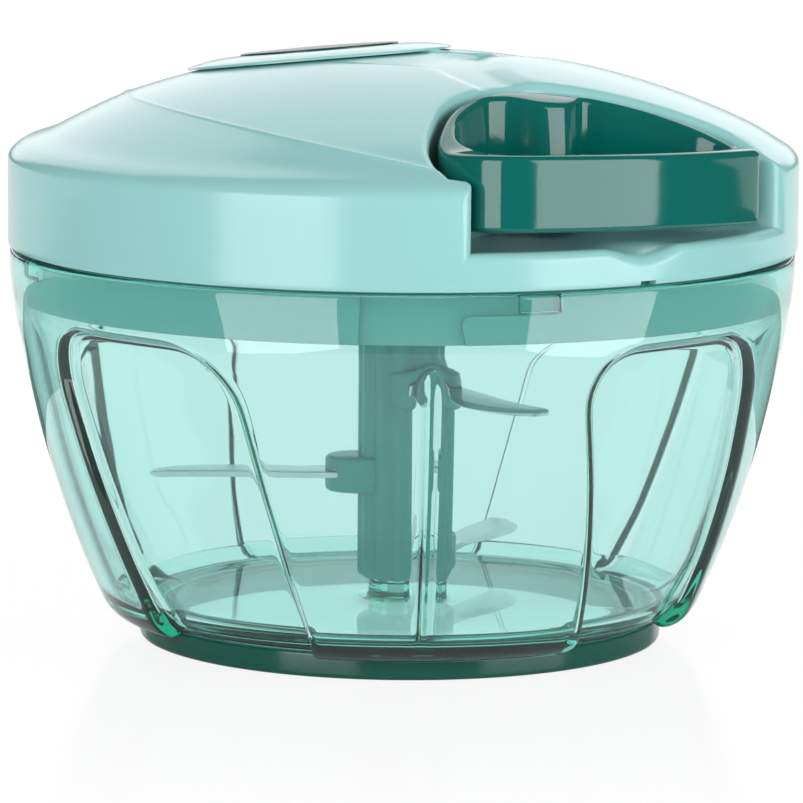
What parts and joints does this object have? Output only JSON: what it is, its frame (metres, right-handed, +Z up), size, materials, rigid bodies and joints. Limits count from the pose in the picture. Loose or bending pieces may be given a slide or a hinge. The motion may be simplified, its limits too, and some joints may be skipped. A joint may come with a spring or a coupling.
{
  "type": "pull-cord food chopper",
  "caption": "Round pull-cord food chopper: clear bowl with recessed arches, domed twist lid and a ring handle whose cord spins the blade shaft.",
  "frame": {"origin": "centre of the base ring's underside", "axes": "+Z up along the bowl's and blade shaft's axis, -Y towards the picture's camera, +X to its right; the ring handle points to the front right"},
  "size_m": [0.124, 0.124, 0.0934],
  "materials": {
    "clear": "clear, faintly green",
    "grip": "satin",
    "steel": "satin",
    "seal": "matte",
    "mint": "satin",
    "inlay": "satin",
    "bronze": "sintered",
    "ring": "glossy",
    "cord": "matte",
    "white": "satin",
    "spring": "satin",
    "teal": "satin"
  },
  "bodies": {
    "bowl": {"bowl": "clear", "base_ring": "grip", "bowl_pin": "steel"},
    "seal": {"lid_seal": "seal"},
    "lid": {"lid_cover": "mint", "badge_disc": "mint", "badge_inlay": "inlay", "lid_base": "mint", "lid_screw_1": "steel", "lid_screw_2": "steel", "lid_screw_3": "steel", "lid_screw_4": "steel", "spring_cover": "steel", "reel_axle": "steel", "hub_bush": "bronze", "hub_washer": "steel", "cord_guide": "steel"},
    "handle": {"pull_handle": "ring", "cord_knot": "cord", "pull_cord": "cord"},
    "reel": {"reel": "white", "cord_winding": "cord", "recoil_spring": "spring"},
    "hub": {"drive_hub": "white"},
    "pawl_1": {"clutch_pawl_1": "teal"},
    "pawl_2": {"clutch_pawl_2": "teal"},
    "sleeve": {"shaft_bush": "bronze"},
    "blades": {"blade_shaft": "teal", "blade_1": "steel", "blade_2": "steel", "blade_3": "steel"}
  },
  "joints": [
    {"name": "lid_lift", "type": "slide", "parent": "bowl", "child": "seal", "axis": [0, 0, 1], "range_m": [0, 0.11]},
    {"name": "lid_turn", "type": "hinge", "parent": "seal", "child": "lid", "pos_m": [0, 0, 0.0637], "axis": [0, 0, 1], "range_deg": [0, 21]},
    {"name": "handle_pull", "type": "slide", "parent": "lid", "child": "handle", "axis": [0.6157, -0.788, 0], "range_m": [0, 0.3], "stiffness_N_per_m": 12, "springref_m": -0.25, "deforming": ["pull_cord"]},
    {"name": "reel_spin", "type": "hinge", "parent": "lid", "child": "reel", "pos_m": [0, 0, 0.078], "axis": [0, 0, 1], "continuous": true},
    {"name": "drive_spin", "type": "hinge", "parent": "lid", "child": "hub", "pos_m": [0, 0, 0.062], "axis": [0, 0, 1], "continuous": true},
    {"name": "pawl_1_swing", "type": "hinge", "parent": "hub", "child": "pawl_1", "pos_m": [0.0065, 0, 0.0708], "axis": [0, 0, -1], "range_deg": [0, 12]},
    {"name": "pawl_2_swing", "type": "hinge", "parent": "hub", "child": "pawl_2", "pos_m": [-0.0065, 0, 0.0708], "axis": [0, 0, -1], "range_deg": [0, 12]},
    {"name": "blade_lift", "type": "slide", "parent": "bowl", "child": "sleeve", "axis": [0, 0, 1], "range_m": [0, 0.055]},
    {"name": "blade_spin", "type": "hinge", "parent": "sleeve", "child": "blades", "pos_m": [0, 0, 0.03], "axis": [0, 0, 1], "continuous": true}
  ],
  "couplings": [
    {"joint": "reel_spin", "follows": "handle_pull", "rad_per_m": 54.645},
    {"joint": "drive_spin", "follows": "handle_pull", "rad_per_m": 54.645},
    {"joint": "blade_spin", "follows": "handle_pull", "rad_per_m": 54.645},
    {"joint": "blade_lift", "follows": "lid_lift", "ratio": 0.5}
  ]
}
